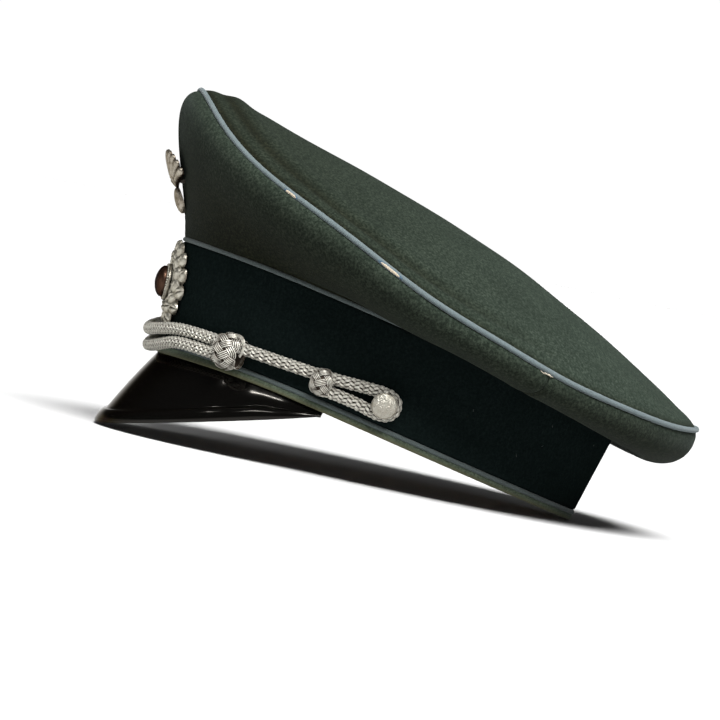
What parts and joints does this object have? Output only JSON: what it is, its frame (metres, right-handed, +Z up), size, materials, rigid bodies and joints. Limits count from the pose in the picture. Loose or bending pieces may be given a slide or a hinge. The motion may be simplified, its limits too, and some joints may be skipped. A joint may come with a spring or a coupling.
{
  "type": "peaked cap",
  "caption": "Officer's peaked cap with a wired saddle-shaped crown, cloth band, round pipings, glossy visor and a corded chin strap with sliding knots.",
  "frame": {"origin": "centre of the foot of the cap's bounding box, on the surface that the cap rests on with the visor's rim and the back of the band", "axes": "+Z up; -Y is the front, towards the visor; +X is the wearer's left. The band's lower edge is tilted 12.15 degrees about X, with the front up, as the cap lies on a table"},
  "size_m": [0.2548, 0.2788, 0.1625],
  "materials": {
    "crown_wool": "matt felted wool",
    "band_cloth": "matt dark cloth",
    "piping_cloth": "matt cloth-covered cord",
    "binding_cloth": "matt felted wool strip",
    "sweatband_leather": "smooth sheepskin, semi-gloss",
    "lining_cloth": "satin-weave lining cloth",
    "shield_film": "clear celluloid film",
    "stiffener_board": "matt fibre board",
    "wadding": "cotton wadding",
    "visor_fibre": "lacquered vulcanised fibre, glossy",
    "cord_braid": "tarnished silver wire braid",
    "silver_metal": "dull silver with brown tarnish",
    "roundel_metal": "dark copper-brown, semi-gloss",
    "brass_fittings": "plain brass",
    "spring_steel": "bare spring wire"
  },
  "bodies": {
    "root": {"crown_top_panel": "crown_wool", "crown_left_front_panel": "crown_wool", "crown_right_front_panel": "crown_wool", "crown_left_rear_panel": "crown_wool", "crown_right_rear_panel": "crown_wool", "crown_piping": "piping_cloth", "crown_wire_ring": "spring_steel", "wire_ferrule": "brass_fittings", "crown_edge_wadding": "wadding", "front_stiffener": "stiffener_board", "cap_band": "band_cloth", "band_upper_piping": "piping_cloth", "band_lower_piping": "piping_cloth", "edge_binding": "binding_cloth", "band_stiffener": "stiffener_board", "sweatband": "sweatband_leather", "sweatband_seam_strip": "sweatband_leather", "lining_top": "lining_cloth", "lining_side": "lining_cloth", "lining_shield": "shield_film", "visor": "visor_fibre", "chin_cord_upper": "cord_braid", "chin_cord_lower": "cord_braid", "small_knot_left": "cord_braid", "small_knot_right": "cord_braid", "left_button_shell": "silver_metal", "left_button_back": "silver_metal", "left_button_prongs": "brass_fittings", "left_button_washer": "brass_fittings", "right_button_shell": "silver_metal", "right_button_back": "silver_metal", "right_button_prongs": "brass_fittings", "right_button_washer": "brass_fittings", "fan_badge": "silver_metal", "fan_badge_prongs": "brass_fittings", "wreath": "silver_metal", "wreath_prongs": "brass_fittings", "roundel_base": "silver_metal", "roundel_dome": "roundel_metal", "roundel_prongs": "brass_fittings"},
    "large_knot_left": {"large_knot_left": "cord_braid"},
    "large_knot_right": {"large_knot_right": "cord_braid"}
  },
  "joints": [
    {"name": "left_knot_slide", "type": "hinge", "parent": "root", "child": "large_knot_left", "pos_m": [-0.01694, -0.02944, 0.03373], "axis": [0.049, -0.1478, -0.9878], "range_deg": [0, 6.78]},
    {"name": "right_knot_slide", "type": "hinge", "parent": "root", "child": "large_knot_right", "pos_m": [0.01694, -0.02944, 0.03373], "axis": [0.049, 0.1478, 0.9878], "range_deg": [0, 6.78]}
  ]
}
